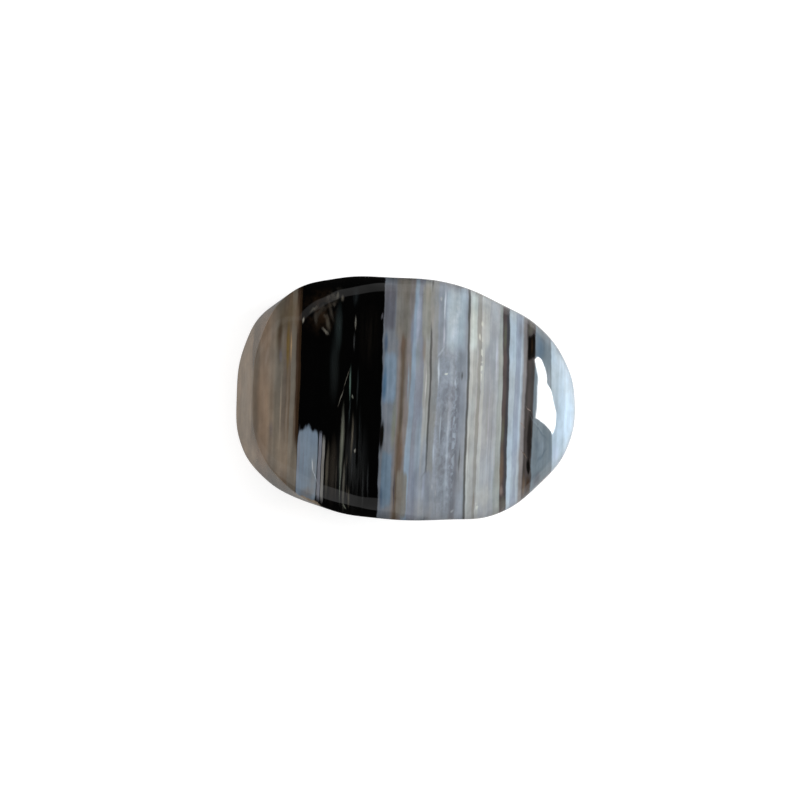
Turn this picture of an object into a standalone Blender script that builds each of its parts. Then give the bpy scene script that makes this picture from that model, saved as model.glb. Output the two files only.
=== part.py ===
"""An oval banded agate, cut with a domed top, a leaning wall and a flat base to lie on.

The widest part of the stone is its girdle, a narrow upright band between the wall and the
dome. Every other ring of the surface is worked out from the girdle: the foot of the wall and
the base are set in from it by a fixed distance, and the dome is made of copies of it that
shrink towards the top.
"""

import math

import bmesh
import bpy
from mathutils import Vector
from mathutils.geometry import interpolate_bezier

MM = 0.001

# Driving sizes in millimetres
LENGTH = 20.0
WIDTH = 13.8
GIRDLE_HEIGHT = 4.5
DOME_RISE = 3.0
WALL_LEAN = 0.74
BASE_CHAMFER = 0.35
GIRDLE_BAND = 0.12

# Shape of the dome: 2 is an ellipse, more is flatter on top. The reach is the share of the
# full curve that is used, so the dome meets the wall in an edge and not in a round.
DOME_FULLNESS = 2.2
DOME_REACH = 0.985

# Girdle seen from above, as shares of half the length and of half the width. The left end is
# blunt, the right end is narrower, and its upper side runs nearly straight for a while.
OUTLINE = (
    (1.000, 0.040),
    (0.943, 0.336),
    (0.782, 0.620),
    (0.539, 0.806),
    (0.231, 0.964),
    (-0.140, 0.998),
    (-0.480, 0.975),
    (-0.780, 0.825),
    (-0.945, 0.465),
    (-0.995, 0.020),
    (-0.965, -0.410),
    (-0.825, -0.700),
    (-0.560, -0.920),
    (-0.230, -1.000),
    (0.200, -1.000),
    (0.510, -0.945),
    (0.775, -0.690),
    (0.954, -0.376),
)
STEPS_BETWEEN_POINTS = 4
DOME_RINGS = 16

STONE_COLOUR = (0.205, 0.190, 0.178, 1.0)
POLISH_ROUGHNESS = 0.08


def clear_scene():
    """Remove every object that the scene starts with."""
    for obj in list(bpy.data.objects):
        bpy.data.objects.remove(obj, do_unlink=True)


def smooth_loop(knots):
    """Closed smooth curve through the knots, as a list of points."""
    count = len(knots)
    points = []
    for i, start in enumerate(knots):
        before, end, after = knots[i - 1], knots[(i + 1) % count], knots[(i + 2) % count]
        span = (end - start).length / 3
        leaving = start + (end - before).normalized() * span
        arriving = end - (after - start).normalized() * span
        stretch = interpolate_bezier(start, leaving, arriving, end, STEPS_BETWEEN_POINTS + 1)
        points.extend(stretch[:-1])
    return points


def girdle_loop():
    """The girdle's points, centred and fitted exactly to the stone's length and width."""
    loop = smooth_loop([Vector((x, y, 0)) for x, y in OUTLINE])
    low = [min(p[axis] for p in loop) for axis in range(2)]
    high = [max(p[axis] for p in loop) for axis in range(2)]
    fitted = []
    for p in loop:
        x = (p.x - (low[0] + high[0]) / 2) / (high[0] - low[0]) * LENGTH
        y = (p.y - (low[1] + high[1]) / 2) / (high[1] - low[1]) * WIDTH
        fitted.append(Vector((x, y, 0)))
    return fitted


def set_in(loop, distance):
    """The loop moved inwards by the same distance all round."""
    moved = []
    for i, p in enumerate(loop):
        run = loop[(i + 1) % len(loop)] - loop[i - 1]
        inwards = Vector((-run.y, run.x, 0)).normalized()
        moved.append(p + inwards * distance)
    return moved


def lift(loop, height):
    """The loop at a height."""
    return [Vector((p.x, p.y, height)) for p in loop]


def wall_rings(girdle):
    """Rings from the flat base up to the foot of the girdle's narrow upright band."""
    band_foot = GIRDLE_HEIGHT - GIRDLE_BAND
    chamfer_lean = WALL_LEAN * (1 - BASE_CHAMFER / band_foot)
    base = lift(set_in(girdle, WALL_LEAN + BASE_CHAMFER), 0)
    foot = lift(set_in(girdle, chamfer_lean), BASE_CHAMFER)
    top = lift(girdle, band_foot)
    return [base, foot, top]


def dome_height(share):
    """Height of the dome where its ring is this share of the girdle's size."""

    def curve(reach):
        return (1 - reach**DOME_FULLNESS) ** (1 / DOME_FULLNESS)

    edge = curve(DOME_REACH)
    rise = (curve(DOME_REACH * share) - edge) / (1 - edge)
    return GIRDLE_HEIGHT + DOME_RISE * rise


def dome_rings(girdle):
    """Rings from the girdle to near the top, closer together on the shoulder."""
    widest = math.asin(DOME_REACH ** (DOME_FULLNESS / 2))
    rings = []
    for i in range(DOME_RINGS):
        angle = widest * (1 - i / DOME_RINGS)
        share = math.sin(angle) ** (2 / DOME_FULLNESS) / DOME_REACH
        rings.append(lift([p * share for p in girdle], dome_height(share)))
    return rings


def add_ring(bm, points):
    """Edges of one closed ring, added to the mesh."""
    verts = [bm.verts.new(p * MM) for p in points]
    return [bm.edges.new((verts[i - 1], verts[i])) for i in range(len(verts))]


def stone_mesh():
    """The whole skin of the stone: base, chamfer, wall, girdle and dome."""
    girdle = girdle_loop()
    bm = bmesh.new()
    rings = [add_ring(bm, points) for points in wall_rings(girdle) + dome_rings(girdle)]
    for lower, upper in zip(rings, rings[1:]):
        bmesh.ops.bridge_loops(bm, edges=lower + upper)
    bmesh.ops.contextual_create(bm, geom=rings[0])
    cap = bmesh.ops.contextual_create(bm, geom=rings[-1])["faces"]
    crown = bmesh.ops.poke(bm, faces=cap)["verts"][0]
    crown.co = (0, 0, dome_height(0) * MM)
    bmesh.ops.recalc_face_normals(bm, faces=bm.faces)
    mesh = bpy.data.meshes.new("agate")
    bm.to_mesh(mesh)
    bm.free()
    mesh.shade_smooth()
    mesh.set_sharp_from_angle(angle=math.radians(25))
    return mesh


def stone_material():
    """Polished agate in the warm grey that its bands average to."""
    material = bpy.data.materials.new("polished agate")
    material.use_nodes = True
    shader = material.node_tree.nodes["Principled BSDF"]
    shader.inputs["Base Color"].default_value = STONE_COLOUR
    shader.inputs["Roughness"].default_value = POLISH_ROUGHNESS
    shader.inputs["Metallic"].default_value = 0.0
    return material


def main():
    """Build the stone, lying on its flat base over the origin."""
    clear_scene()
    agate = bpy.data.objects.new("agate", stone_mesh())
    agate.data.materials.append(stone_material())
    bpy.context.scene.collection.objects.link(agate)


main()
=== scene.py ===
"""Looks of a polished sulemani agate, an oval cabochon with straight bands.

The stone is modelled in one skin and dressed in a banded finish that is worked out from nodes. It
lies on a pale floor in soft studio light, and the camera looks down on it, tilted a little towards
its blunt end.
"""

import logging
import math
from collections.abc import Callable
from dataclasses import dataclass, replace
from enum import Enum

import bmesh
import bpy
from mathutils import Matrix, Vector


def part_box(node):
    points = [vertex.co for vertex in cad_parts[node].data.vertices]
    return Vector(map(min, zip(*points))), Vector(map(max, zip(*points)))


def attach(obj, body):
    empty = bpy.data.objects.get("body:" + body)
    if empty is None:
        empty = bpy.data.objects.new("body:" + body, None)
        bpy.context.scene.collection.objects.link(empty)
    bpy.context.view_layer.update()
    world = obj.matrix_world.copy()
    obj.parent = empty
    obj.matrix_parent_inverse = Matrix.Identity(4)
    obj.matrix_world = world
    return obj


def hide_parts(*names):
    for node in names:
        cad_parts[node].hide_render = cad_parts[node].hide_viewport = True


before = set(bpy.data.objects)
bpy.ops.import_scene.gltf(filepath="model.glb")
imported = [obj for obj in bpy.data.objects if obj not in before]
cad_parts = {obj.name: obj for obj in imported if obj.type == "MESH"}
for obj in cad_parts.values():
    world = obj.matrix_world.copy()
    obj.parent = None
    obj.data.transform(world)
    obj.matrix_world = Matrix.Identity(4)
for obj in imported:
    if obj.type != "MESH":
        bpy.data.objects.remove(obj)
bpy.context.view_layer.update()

MM = 0.001

# Heights that differ by less count as the same, and a face whose normal is steeper lies flat
SAME_HEIGHT = 1e-6
FLAT = 0.99

Socket = bpy.types.NodeSocket
Colour = tuple[float, float, float, float]
Skyline = tuple[tuple[float, float], ...]

log = logging.getLogger("agate")


class Tone(Enum):
    """Colours of the stone's layers as they look in daylight, and of a painted reflection, in red,
    green and blue up to 255.
    """

    JET = (2, 2, 2)
    PITCH = (13, 11, 9)
    INK = (26, 30, 31)
    NIGHT = (40, 42, 43)
    TEAL_DIM = (30, 37, 38)
    FERN = (76, 94, 87)
    OLIVE = (94, 98, 90)
    BISTRE = (45, 33, 22)
    SEPIA = (62, 48, 38)
    MUD = (50, 46, 41)
    LOAM = (70, 67, 60)
    ASH = (90, 89, 83)
    PALE_ASH = (127, 125, 118)
    CLAY = (149, 134, 117)
    FAWN = (127, 111, 96)
    TAUPE = (117, 106, 94)
    OLIVE_TAUPE = (108, 101, 91)
    COCOA = (102, 92, 82)
    BARK = (97, 84, 71)
    OLIVE_BROWN = (84, 74, 58)
    AMBER = (100, 82, 50)
    HONEY = (150, 125, 95)
    DUN = (140, 125, 112)
    VIOLET_DUN = (102, 97, 99)
    PATCH_BLUE = (118, 132, 146)
    PATCH_VIOLET = (113, 117, 127)
    PATCH_GREY = (121, 121, 119)
    HAIR = (172, 180, 188)
    BLUE_GREY = (106, 112, 120)
    MAUVE_GREY = (90, 91, 99)
    NIGHT_BLUE = (72, 88, 108)
    LAKE = (110, 131, 151)
    DEEP_LAKE = (68, 97, 126)
    STONE_BLUE = (97, 115, 131)
    MOSS_GREY = (113, 117, 108)
    BROWN = (96, 85, 74)
    REDDISH = (101, 87, 77)
    TAUPE_GREY = (119, 116, 109)
    OLIVE_GREY = (111, 109, 103)
    DUSK = (76, 72, 76)
    VIOLET_TAUPE = (122, 118, 117)
    PERIWINKLE = (131, 147, 162)
    LILAC_GREY = (126, 132, 144)
    PALE_LILAC = (150, 157, 172)
    DARK_LILAC = (119, 128, 143)
    GREY_TEAL = (121, 131, 137)
    SKY_GREY = (136, 148, 159)
    OAT = (147, 151, 151)
    SAND_GREY = (132, 126, 120)
    LICHEN = (137, 137, 129)
    GRAPHITE = (89, 91, 91)
    DOVE = (139, 142, 143)
    CLOUD_GREY = (141, 148, 157)
    FOG = (147, 156, 164)
    FROST = (168, 184, 195)
    RIME = (198, 206, 213)
    PEBBLE = (162, 172, 182)
    SHADE = (116, 120, 128)
    CREAM = (179, 184, 184)
    MILK = (190, 200, 198)
    LINEN = (158, 162, 162)
    SAND = (145, 146, 144)
    GRIT = (206, 211, 204)
    MIST = (159, 164, 169)
    LAVENDER = (180, 184, 195)
    DOVE_GREEN = (150, 156, 154)
    CHARCOAL = (78, 70, 70)
    COAL = (66, 66, 71)
    OLIVE_COAL = (88, 89, 77)
    UMBER = (101, 89, 79)
    ROSE_TAUPE = (128, 114, 108)
    ICE_BLUE = (166, 181, 193)
    HAZE_BLUE = (147, 158, 173)
    PEWTER = (126, 124, 125)
    PEAT = (70, 66, 65)
    TEAL_GREY = (110, 122, 130)
    # painted reflection: the next two tones paint the arcs of a dark rounded thing mirrored in the
    # polish
    DARK_REFLECTION_TEAL = (88, 101, 111)
    LIGHT_REFLECTION_TEAL = (130, 142, 151)
    ICE = (167, 185, 199)
    SNOW = (193, 213, 229)
    LOW_ICE = (170, 183, 201)

    @property
    def linear(self) -> Colour:
        """The tone as a shader colour.

        Returns:
            The colour in linear light.
        """
        shares = [value / 255 for value in self.value]
        light = [s / 12.92 if s <= 0.04045 else ((s + 0.055) / 1.055) ** 2.4 for s in shares]
        return (*light, 1.0)


@dataclass(frozen=True)
class Weave:
    """A soft noise, drawn out along the bands.

    Attributes:
        scale: Lumps to a millimetre across, along and down through the bands.
        detail: Number of finer layers.
        roughness: Strength of the finer layers.
        shift: Where the noise starts.
    """

    scale: tuple[float, float, float]
    detail: float = 2.0
    roughness: float = 0.5
    shift: tuple[float, float, float] = (0.0, 0.0, 0.0)


class Grain(Enum):
    """What breaks up a mark: nothing, fibres along the bands, or soft, fine or bead-like grains.

    Each has its noise and the two levels of the noise between which the mark comes to show.
    """

    PLAIN = None
    FIBRE = (Weave((5.0, 0.2, 0.6), 3, 0.6), 0.36, 0.60)
    CLOUD = (Weave((1.8, 1.3, 1.3), 4, 0.6), 0.38, 0.66)
    SPECKLE = (Weave((6.0, 4.0, 4.0), 3, 0.6), 0.44, 0.60)
    BEAD = (Weave((4.0, 3.0, 3.0), 1), 0.46, 0.56)


class Form(Enum):
    """Outline of a mark: a lens with pointed ends, or a cell with blunt ends."""

    LENS = "lens"
    CELL = "cell"


@dataclass(frozen=True)
class Band:
    """A straight layer of the stone, which lasts until the next one begins.

    Attributes:
        start: Its left edge at mid-height, in millimetres from the stone's middle.
        tone: Its colour.
        blend: Width in millimetres over which it takes over from the layer before.
        lean: Millimetres that its edge moves right for each millimetre up, past the common lean.
        wander: Millimetres that its edge strays by itself.
    """

    start: float
    tone: Tone
    blend: float = 0.08
    lean: float = 0.0
    wander: float = 0.10


@dataclass(frozen=True)
class Mark:
    """A streak, wisp, cell or speck inside the bands.

    Attributes:
        place: Its middle, in millimetres across and along the bands.
        size: Its full width across the bands and its full length along them, in millimetres.
        tone: Its colour.
        strength: Share of its colour that shows at its middle.
        softness: Share of its half-size over which it fades, from crisp to soft.
        lean: Degrees that it leans to the right of the bands.
        grain: What breaks it up.
        form: Its outline.
    """

    place: tuple[float, float]
    size: tuple[float, float]
    tone: Tone
    strength: float = 1.0
    softness: float = 0.9
    lean: float = 0.0
    grain: Grain = Grain.PLAIN
    form: Form = Form.LENS


BANDS = (
    Band(-8.70, Tone.TAUPE, 0.12, 0.0, 0.02),
    Band(-8.35, Tone.FAWN, 0.35),
    Band(-7.75, Tone.TAUPE, 0.30),
    Band(-7.45, Tone.OLIVE_TAUPE, 0.25),
    Band(-6.98, Tone.COCOA, 0.06, 0.0, 0.04),
    Band(-6.80, Tone.BARK, 0.08, 0.0, 0.04),
    Band(-6.55, Tone.OLIVE_TAUPE, 0.06, 0.0, 0.04),
    Band(-6.28, Tone.SEPIA, 0.10, 0.0, 0.05),
    Band(-6.15, Tone.BISTRE, 0.06, 0.0, 0.05),
    Band(-6.02, Tone.JET, 0.06, 0.0, 0.05),
    Band(-1.40, Tone.BLUE_GREY, 0.09, -0.005, 0.12),
    Band(-0.55, Tone.VIOLET_TAUPE, 0.20, 0.01),
    Band(-0.42, Tone.BROWN, 0.26, 0.02, 0.06),
    Band(-0.14, Tone.VIOLET_TAUPE, 0.28, 0.02, 0.06),
    Band(0.15, Tone.PERIWINKLE, 0.14, 0.030, 0.06),
    Band(0.43, Tone.LILAC_GREY, 0.08, 0.022, 0.06),
    Band(0.92, Tone.OAT, 0.08),
    Band(1.25, Tone.GRAPHITE, 0.05, 0.0, 0.05),
    Band(1.36, Tone.DOVE, 0.05, 0.0, 0.05),
    Band(1.70, Tone.CLOUD_GREY, 0.12, 0.0, 0.16),
    Band(2.66, Tone.SHADE, 0.20, 0.0, 0.16),
    Band(3.02, Tone.CLOUD_GREY, 0.20, 0.0, 0.10),
    Band(3.39, Tone.GRAPHITE, 0.08, -0.012, 0.03),
    Band(3.52, Tone.CREAM, 0.08, -0.012, 0.03),
    Band(3.70, Tone.LINEN, 0.08),
    Band(3.97, Tone.SAND, 0.08),
    Band(4.15, Tone.CREAM, 0.06, 0.0, 0.12),
    Band(4.33, Tone.MIST, 0.08),
    Band(5.15, Tone.DOVE_GREEN, 0.10),
    Band(5.42, Tone.CHARCOAL, 0.08, -0.018, 0.04),
    Band(5.66, Tone.COAL, 0.08, -0.018, 0.04),
    Band(5.80, Tone.ICE_BLUE, 0.06, -0.018, 0.04),
    Band(6.12, Tone.HAZE_BLUE, 0.08),
    Band(6.42, Tone.ICE_BLUE, 0.08),
    Band(6.53, Tone.PEWTER, 0.20),
    Band(6.76, Tone.PEAT, 0.12),
    Band(7.27, Tone.TEAL_GREY, 0.08),
    Band(8.30, Tone.ICE, 0.10, -0.04, 0.08),
    Band(9.00, Tone.SNOW, 0.40, -0.04),
)

MARKS = (
    # Brown end
    Mark((-7.90, 2.41), (0.25, 1.4), Tone.DUN, 0.8, lean=10),
    Mark((-6.75, 4.70), (1.50, 2.6), Tone.OLIVE_BROWN, 0.8, 1.0, lean=12),
    Mark((-7.20, 3.80), (0.50, 2.6), Tone.OLIVE_BROWN, 0.9, lean=8),
    Mark((-7.20, 3.20), (0.44, 3.4), Tone.SEPIA, 0.6),
    Mark((-6.30, 4.60), (0.40, 2.4), Tone.BARK, 0.9),
    Mark((-7.14, 2.36), (0.25, 1.0), Tone.VIOLET_DUN, 0.9),
    Mark((-7.05, -0.54), (0.09, 5.6), Tone.CLAY, 0.7),
    Mark((-6.74, 3.04), (0.30, 3.8), Tone.AMBER, 1.0, 0.8),
    Mark((-6.57, 2.87), (0.12, 2.2), Tone.HONEY),
    Mark((-7.55, -1.73), (0.30, 1.2), Tone.VIOLET_DUN, 0.5),
    Mark((-8.55, -3.40), (0.60, 3.4), Tone.CLAY, 0.9, 0.8),
    Mark((-6.90, -3.30), (1.80, 4.6), Tone.CLAY, 0.6, 1.0),
    Mark((-6.70, -1.00), (0.20, 7.0), Tone.TAUPE, 0.7),
    Mark((-6.25, -1.60), (0.17, 3.4), Tone.BARK, 1.0, 0.7),
    Mark((-6.20, -4.30), (0.50, 5.0), Tone.OLIVE_TAUPE, 1.0, 0.5),
    # Clouds in the upper part of the black band
    Mark((-4.90, 4.90), (2.80, 3.2), Tone.BISTRE, 0.7, grain=Grain.CLOUD),
    Mark((-4.30, 5.65), (1.80, 0.9), Tone.LOAM, 0.55, lean=-65, grain=Grain.CLOUD),
    Mark((-3.05, 5.70), (0.50, 1.4), Tone.INK, 0.8, grain=Grain.FIBRE),
    Mark((-5.00, 4.90), (0.50, 1.4), Tone.MUD, 0.8, lean=45),
    Mark((-4.40, 4.90), (0.30, 1.6), Tone.MUD, 0.8, lean=-15),
    Mark((-5.93, 4.40), (0.15, 0.50), Tone.PALE_ASH, lean=10),
    Mark((-5.23, 4.57), (0.30, 1.1), Tone.MUD),
    Mark((-4.72, 4.63), (0.35, 0.4), Tone.MUD),
    Mark((-4.55, 4.20), (0.35, 1.3), Tone.LOAM, 0.7, 1.0, lean=-10),
    Mark((-4.69, 3.75), (0.26, 0.72), Tone.ASH, lean=-45),
    Mark((-4.08, 5.77), (0.24, 0.65), Tone.LOAM),
    Mark((-3.79, 5.54), (0.24, 0.55), Tone.LOAM),
    Mark((-4.24, 5.37), (0.30, 0.45), Tone.MUD),
    Mark((-4.60, 5.70), (0.35, 0.45), Tone.MUD),
    Mark((-5.35, 5.05), (0.20, 1.0), Tone.LOAM, 0.8, lean=42),
    Mark((-3.95, 4.00), (0.60, 3.4), Tone.TEAL_DIM, 0.9),
    Mark((-4.12, 1.80), (0.70, 5.2), Tone.INK, 0.7),
    Mark((-3.70, 3.60), (0.14, 3.0), Tone.JET, 0.8),
    Mark((-2.20, 3.60), (1.50, 4.4), Tone.PITCH, 0.8, grain=Grain.FIBRE),
    Mark((-2.95, -3.80), (2.40, 6.6), Tone.NIGHT, 0.55, grain=Grain.FIBRE),
    # Lines in the black band
    Mark((-3.00, 4.23), (0.13, 1.0), Tone.ASH),
    Mark((-3.05, 3.20), (0.14, 1.4), Tone.NIGHT),
    Mark((-3.20, 0.82), (0.14, 2.5), Tone.FERN),
    Mark((-3.05, 0.03), (0.14, 0.3), Tone.OLIVE, 0.9),
    Mark((-3.16, -0.77), (0.12, 2.2), Tone.TEAL_DIM),
    Mark((-3.40, 1.15), (0.06, 1.5), Tone.LOAM, 1.0, 0.8, lean=17),
    Mark((-3.69, 0.05), (0.08, 1.2), Tone.ASH, 1.0, 0.8, lean=17),
    Mark((-2.77, 0.50), (0.14, 2.8), Tone.INK),
    Mark((-3.52, -2.60), (0.30, 5.4), Tone.OLIVE, 0.9, 0.8),
    Mark((-3.44, -3.20), (0.07, 2.8), Tone.INK, 0.7),
    Mark((-3.52, -4.52), (0.09, 3.6), Tone.OLIVE, 0.9, 0.8),
    Mark((-3.32, -4.91), (0.20, 3.4), Tone.ASH, 0.8),
    Mark((-3.25, -6.05), (0.10, 0.60), Tone.OLIVE, 1.0, 0.8, lean=-22),
    Mark((-3.19, -3.50), (0.08, 1.0), Tone.MUD),
    Mark((-3.13, -5.20), (0.08, 1.0), Tone.MUD),
    Mark((-2.95, -2.24), (0.18, 3.4), Tone.LOAM),
    Mark((-3.02, -5.60), (0.16, 1.6), Tone.LOAM, 0.8),
    Mark((-2.89, -3.78), (0.14, 2.2), Tone.NIGHT),
    Mark((-2.75, -2.93), (0.14, 0.34), Tone.PALE_ASH, 0.9),
    Mark((-2.61, -2.36), (0.22, 5.0), Tone.INK, grain=Grain.FIBRE),
    Mark((-2.25, -5.00), (0.14, 3.2), Tone.NIGHT, 0.8),
    Mark((-1.98, -4.63), (0.14, 2.8), Tone.NIGHT, 0.8),
    Mark((-4.28, -4.00), (0.26, 3.8), Tone.LOAM, 1.0, 0.8),
    Mark((-3.99, -4.06), (0.60, 4.8), Tone.MUD, 0.7),
    Mark((-3.75, -4.60), (0.12, 3.0), Tone.MUD, 0.8),
    # Blue tongue in the black band
    Mark((-5.44, -3.85), (1.20, 4.3), Tone.PATCH_BLUE, 1.0, 0.12, form=Form.CELL),
    Mark((-5.50, -1.90), (0.55, 1.0), Tone.PATCH_BLUE, 0.8, 0.7),
    Mark((-5.05, -4.40), (0.50, 3.4), Tone.PATCH_GREY, 0.5, 1.0),
    Mark((-5.93, -3.30), (0.22, 4.0), Tone.PATCH_VIOLET, 0.9, 0.8),
    Mark((-5.66, -3.40), (0.14, 3.0), Tone.PATCH_VIOLET, 0.5),
    Mark((-4.86, -2.40), (0.08, 2.0), Tone.INK, 0.9),
    Mark((-4.74, -3.85), (0.20, 4.2), Tone.PATCH_VIOLET, 1.0, 0.3, form=Form.CELL),
    Mark((-4.54, -3.95), (0.18, 4.1), Tone.PATCH_GREY, 1.0, 0.4, form=Form.CELL),
    Mark((-5.13, -3.72), (0.09, 1.1), Tone.HAIR, 1.0, 0.8, lean=-8),
    Mark((-4.95, -4.40), (0.06, 1.1), Tone.PEBBLE, 0.9, 0.8, lean=-22),
    Mark((-5.40, -5.30), (1.50, 0.9), Tone.TAUPE, 0.5, 1.0),
    Mark((-5.16, -5.93), (0.50, 3.2), Tone.CLAY, 1.0, 0.35, lean=-60),
    # Blue-grey band
    Mark((-1.08, 5.14), (0.70, 2.9), Tone.MAUVE_GREY, 0.9, 0.35, form=Form.CELL),
    Mark((-1.25, 3.10), (0.34, 1.8), Tone.NIGHT_BLUE, 0.9, 0.8),
    Mark((-0.98, 1.15), (0.80, 3.2), Tone.LAKE, 0.85, 0.45, form=Form.CELL),
    Mark((-1.26, 0.77), (0.36, 2.9), Tone.DEEP_LAKE, 0.9, 0.8),
    Mark((-0.65, -1.56), (0.36, 3.8), Tone.MOSS_GREY, 1.0, 0.8),
    Mark((-0.96, -4.62), (0.62, 3.4), Tone.STONE_BLUE, 1.0, 0.25, form=Form.CELL),
    Mark((-1.30, -2.10), (0.36, 2.3), Tone.PITCH, 1.0, 0.6),
    Mark((-1.21, -5.60), (0.26, 2.0), Tone.NIGHT_BLUE, 0.8),
    Mark((-1.51, 4.63), (0.17, 0.50), Tone.MAUVE_GREY, 0.7),
    # Brown line beside it
    Mark((-0.32, 5.40), (0.95, 4.6), Tone.OLIVE_GREY, 0.8, 0.4, form=Form.CELL),
    Mark((-0.29, 2.93), (0.30, 2.0), Tone.REDDISH, 0.9, 0.8),
    Mark((-0.27, -1.10), (0.26, 2.6), Tone.LOAM, 0.6),
    Mark((0.07, 0.90), (0.18, 2.8), Tone.PERIWINKLE, 0.7, 0.8),
    Mark((-0.19, -3.20), (0.40, 3.2), Tone.REDDISH, 0.9, 0.8),
    Mark((-0.05, -5.43), (0.68, 2.9), Tone.TAUPE_GREY, 0.9, 0.3, form=Form.CELL),
    Mark((-0.48, -5.20), (0.14, 3.2), Tone.DUSK, 0.9, 0.8),
    # Periwinkle lines
    Mark((0.55, 4.57), (0.36, 4.0), Tone.PALE_LILAC, 0.9, 0.8, lean=3),
    Mark((0.22, 3.66), (0.30, 3.4), Tone.DARK_LILAC, 0.8, 0.8),
    Mark((0.56, 2.41), (0.38, 2.6), Tone.GREY_TEAL, 0.9, 0.8),
    Mark((0.79, -2.81), (0.52, 4.6), Tone.SKY_GREY, 0.9, 0.6),
    Mark((0.71, -5.30), (0.70, 2.8), Tone.DARK_LILAC, 0.7, 0.6),
    Mark((0.10, 5.60), (0.24, 1.8), Tone.VIOLET_TAUPE, 0.9, 0.8),
    # Cream line
    Mark((0.93, 2.98), (0.30, 2.5), Tone.SAND_GREY, 0.9, 0.8),
    Mark((1.06, 0.70), (0.13, 2.6), Tone.CREAM, 0.8, 0.8),
    Mark((1.00, 4.90), (0.56, 3.5), Tone.LICHEN, 0.8, 0.4, form=Form.CELL),
    Mark((1.16, -3.60), (0.42, 4.0), Tone.CLOUD_GREY, 0.9, 0.7),
    Mark((1.34, 5.14), (0.30, 3.4), Tone.SAND, 1.0, 0.5),
    Mark((1.40, -5.43), (0.36, 2.8), Tone.LILAC_GREY, 1.0, 0.3, form=Form.CELL),
    Mark((1.21, -4.23), (0.13, 0.9), Tone.SHADE, 0.9, 0.8, lean=30),
    Mark((1.30, -5.80), (1.30, 3.6), Tone.CLOUD_GREY, 0.75, 0.4, form=Form.CELL),
    Mark((1.21, -5.03), (0.22, 2.1), Tone.PALE_LILAC, 0.9, 0.8, lean=6),
    # Mottled grey
    Mark((2.70, 4.46), (1.25, 4.0), Tone.FROST, 0.85, 0.45, form=Form.CELL),
    Mark((2.60, 4.60), (1.10, 3.6), Tone.RIME, 0.6, 0.8, grain=Grain.CLOUD),
    Mark((2.70, 2.07), (1.15, 3.4), Tone.FOG, 0.7, 0.8),
    Mark((2.30, -1.00), (1.70, 14.0), Tone.PEBBLE, 0.35, 0.4, grain=Grain.SPECKLE),
    Mark((2.68, -2.00), (0.34, 9.0), Tone.SHADE, 0.8, 0.8, grain=Grain.BEAD),
    Mark((2.50, -2.00), (1.50, 12.0), Tone.SHADE, 0.9, 0.5, grain=Grain.CLOUD),
    Mark((2.04, 5.26), (0.15, 2.2), Tone.RIME, 0.9, 0.8),
    Mark((2.02, 3.60), (0.16, 1.8), Tone.LAVENDER, 1.0, 0.8),
    Mark((1.86, 2.64), (0.17, 0.9), Tone.PEBBLE, 1.0, 0.8, lean=35),
    Mark((1.74, 1.50), (0.16, 2.0), Tone.RIME, 0.8),
    Mark((2.00, -1.68), (0.13, 2.8), Tone.PEBBLE),
    Mark((1.69, -3.15), (0.16, 1.8), Tone.PEBBLE),
    Mark((1.83, 5.65), (0.20, 0.33), Tone.CREAM, 0.8),
    Mark((2.17, 1.31), (0.15, 0.36), Tone.GRIT, lean=60),
    Mark((2.72, 0.88), (0.13, 0.6), Tone.PEBBLE),
    Mark((3.08, 1.28), (0.14, 0.7), Tone.GRAPHITE),
    Mark((2.80, -2.24), (0.30, 9.0), Tone.PEBBLE, 0.7, grain=Grain.BEAD),
    Mark((2.45, -2.70), (0.18, 7.2), Tone.PEBBLE, 0.6),
    Mark((1.70, -5.03), (0.14, 0.45), Tone.MIST),
    Mark((1.90, -5.30), (0.12, 0.60), Tone.MIST),
    Mark((2.39, -5.20), (0.20, 3.4), Tone.FOG, 0.8),
    Mark((2.86, -6.36), (0.16, 0.36), Tone.MIST, lean=40),
    Mark((3.17, -3.50), (0.17, 2.0), Tone.GRAPHITE, 0.9, grain=Grain.FIBRE),
    # Cream lines
    Mark((3.70, 4.35), (0.43, 3.6), Tone.MILK, 0.85, 0.3, form=Form.CELL),
    Mark((3.95, 4.35), (0.15, 3.6), Tone.SAND, 0.9, 0.6),
    Mark((4.09, 5.37), (0.24, 1.3), Tone.SAND, 0.8, 0.8),
    Mark((4.41, 4.35), (0.46, 3.4), Tone.CREAM, 0.7, 0.3, form=Form.CELL),
    Mark((4.17, 4.23), (0.18, 0.46), Tone.GRIT, 0.8),
    Mark((4.04, 3.49), (0.16, 0.50), Tone.GRIT, 0.8),
    Mark((4.18, 2.19), (0.18, 3.2), Tone.GRIT, 0.9, 0.6, grain=Grain.BEAD),
    Mark((3.79, 1.90), (0.36, 2.8), Tone.LINEN, 0.9, 0.8),
    Mark((3.68, -3.00), (0.07, 7.0), Tone.SAND, 0.8, 0.8),
    Mark((4.26, -5.94), (0.24, 1.1), Tone.GRIT, 0.9, 0.7, grain=Grain.BEAD),
    Mark((4.60, -5.50), (1.50, 1.8), Tone.CREAM, 0.6),
    Mark((4.05, -5.77), (0.10, 1.5), Tone.SAND_GREY, 0.9, 0.8),
    Mark((5.03, 2.30), (0.14, 3.4), Tone.LAVENDER, 0.8, 0.8),
    Mark((4.62, -2.00), (0.10, 8.0), Tone.LINEN, 0.6, 0.8),
    Mark((4.72, -1.50), (0.09, 9.0), Tone.LAVENDER, 0.5, 0.8),
    Mark((4.92, -2.50), (0.08, 7.0), Tone.SHADE, 0.35, 0.8),
    Mark((5.05, -4.00), (0.10, 5.0), Tone.PEBBLE, 0.6, 0.8),
    # Charcoal line and the pale blue beside it
    Mark((5.50, 3.44), (0.24, 2.3), Tone.OLIVE_COAL, 0.9, 0.8),
    Mark((5.71, 3.60), (0.15, 3.0), Tone.COAL, 0.9, 0.8),
    Mark((5.56, -1.90), (0.24, 2.4), Tone.OLIVE_COAL, 0.9, 0.8),
    Mark((5.57, -3.84), (0.30, 3.6), Tone.UMBER, 1.0, 0.7),
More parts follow.
